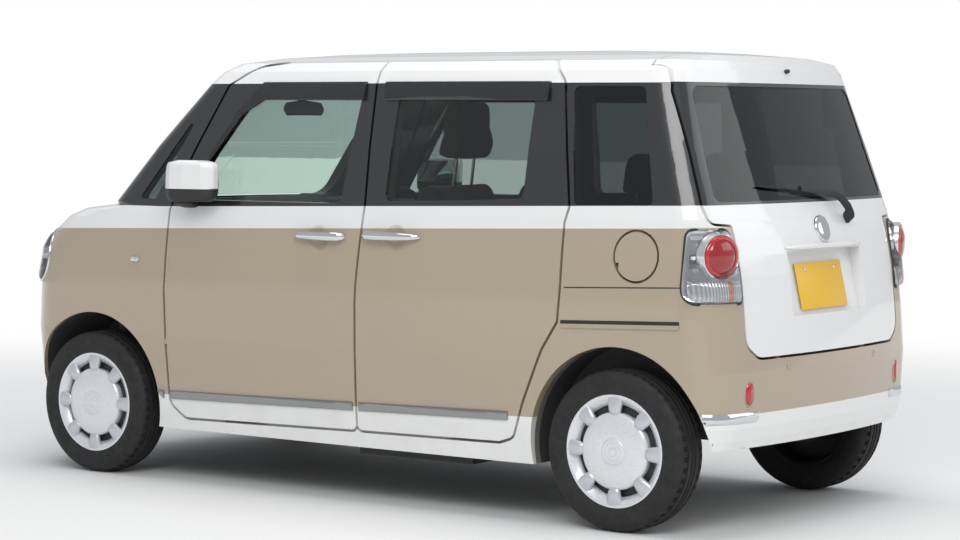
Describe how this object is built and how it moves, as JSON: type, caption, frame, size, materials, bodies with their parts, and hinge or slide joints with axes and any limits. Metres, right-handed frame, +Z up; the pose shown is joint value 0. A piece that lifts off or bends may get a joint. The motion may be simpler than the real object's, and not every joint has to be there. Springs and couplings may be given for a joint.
{
  "type": "tall kei car with sliding rear doors",
  "caption": "Small tall two-box passenger car with sliding rear doors, opening front doors, bonnet, tailgate and fuel lid, steered front wheels and a hollow furnished cabin.",
  "frame": {"origin": "on the ground under the middle of the body's length and width", "axes": "+X forward, +Y to the car's left, +Z up"},
  "size_m": [3.395, 1.888, 1.655],
  "materials": {
    "body_paint": "gloss two-tone paint, beige below and pearl white above",
    "glass": "dark tinted glass",
    "headlamp_lens": "clear lens over a bright bowl",
    "tail_lamp_lens": "red and clear lens",
    "black_trim": "black grained plastic",
    "inner_panel": "primer and underseal",
    "dash_plastic": "grained plastic",
    "seat_fabric": "woven fabric",
    "engine_metal": "cast metal",
    "chassis_black": "black chassis paint",
    "exhaust_steel": "dull steel",
    "tyre": "black rubber",
    "wheel_cover": "white and silver cover on a black rim"
  },
  "bodies": {
    "body": {"body_side_left": "body_paint", "body_side_right": "body_paint", "bulkhead": "inner_panel", "dashboard": "dash_plastic", "engine": "engine_metal", "exhaust": "exhaust_steel", "fender_left": "body_paint", "fender_right": "body_paint", "floor_pan": "inner_panel", "front_bumper": "body_paint", "front_seats": "seat_fabric", "front_suspension": "chassis_black", "fuel_tank": "chassis_black", "grille": "black_trim", "headlamps": "headlamp_lens", "quarter_glasses": "glass", "radiator": "engine_metal", "rear_axle": "chassis_black", "rear_bumper": "body_paint", "rear_panel": "inner_panel", "rear_seat": "seat_fabric", "roof_panel": "body_paint", "sliding_door_glasses": "glass", "sliding_door_left": "body_paint", "sliding_door_right": "body_paint", "steering_column": "dash_plastic", "tail_lamps": "tail_lamp_lens", "wheelhouses": "inner_panel", "windscreen": "glass"},
    "front_door_left": {"front_door_left": "body_paint", "front_door_glass_left": "glass", "mirror_left": "body_paint"},
    "front_door_right": {"front_door_right": "body_paint", "front_door_glass_right": "glass", "mirror_right": "body_paint"},
    "bonnet": {"bonnet": "body_paint"},
    "tailgate": {"tailgate": "body_paint", "tailgate_glass": "glass"},
    "fuel_lid": {"fuel_lid": "body_paint"},
    "steering_wheel": {"steering_wheel": "dash_plastic"},
    "knuckle_left": {"knuckle_left": "chassis_black"},
    "knuckle_right": {"knuckle_right": "chassis_black"},
    "wheel_front_left": {"tyre_front_left": "tyre", "wheel_front_left": "wheel_cover"},
    "wheel_front_right": {"tyre_front_right": "tyre", "wheel_front_right": "wheel_cover"},
    "wheel_rear_left": {"tyre_rear_left": "tyre", "wheel_rear_left": "wheel_cover"},
    "wheel_rear_right": {"tyre_rear_right": "tyre", "wheel_rear_right": "wheel_cover"}
  },
  "joints": [
    {"name": "front_door_left_hinge", "type": "hinge", "parent": "body", "child": "front_door_left", "pos_m": [0.815, 0.72646, 0.55], "axis": [0, 0, -1], "range_deg": [0, 65]},
    {"name": "front_door_right_hinge", "type": "hinge", "parent": "body", "child": "front_door_right", "pos_m": [0.815, -0.72646, 0.55], "axis": [0, 0, 1], "range_deg": [0, 65]},
    {"name": "bonnet_hinge", "type": "hinge", "parent": "body", "child": "bonnet", "pos_m": [1.168, 0, 1.068], "axis": [0, -1, 0], "range_deg": [0, 50]},
    {"name": "tailgate_hinge", "type": "hinge", "parent": "body", "child": "tailgate", "pos_m": [-1.306, 0, 1.628], "axis": [0, 1, 0], "range_deg": [0, 78]},
    {"name": "fuel_lid_hinge", "type": "hinge", "parent": "body", "child": "fuel_lid", "pos_m": [-1.2425, 0.70813, 0.945], "axis": [0, 0, -1], "range_deg": [0, 80]},
    {"name": "steer_left", "type": "hinge", "parent": "body", "child": "knuckle_left", "pos_m": [1.2125, 0.535, 0.2785], "axis": [0, 0, 1], "range_deg": [-35, 35]},
    {"name": "steer_right", "type": "hinge", "parent": "body", "child": "knuckle_right", "pos_m": [1.2125, -0.535, 0.2785], "axis": [0, 0, 1], "range_deg": [-35, 35]},
    {"name": "steering_wheel_turn", "type": "hinge", "parent": "body", "child": "steering_wheel", "pos_m": [0.455, -0.35, 0.955], "axis": [-0.9063, 0, 0.4226], "range_deg": [-490, 490]},
    {"name": "wheel_front_left_spin", "type": "hinge", "parent": "knuckle_left", "child": "wheel_front_left", "pos_m": [1.2125, 0.6525, 0.2785], "axis": [0, 1, 0], "continuous": true},
    {"name": "wheel_front_right_spin", "type": "hinge", "parent": "knuckle_right", "child": "wheel_front_right", "pos_m": [1.2125, -0.6525, 0.2785], "axis": [0, 1, 0], "continuous": true},
    {"name": "wheel_rear_left_spin", "type": "hinge", "parent": "body", "child": "wheel_rear_left", "pos_m": [-1.2425, 0.6525, 0.2785], "axis": [0, 1, 0], "continuous": true},
    {"name": "wheel_rear_right_spin", "type": "hinge", "parent": "body", "child": "wheel_rear_right", "pos_m": [-1.2425, -0.6525, 0.2785], "axis": [0, 1, 0], "continuous": true}
  ],
  "couplings": [
    {"joint": "steer_right", "follows": "steer_left", "ratio": 1},
    {"joint": "steering_wheel_turn", "follows": "steer_left", "ratio": 14}
  ]
}
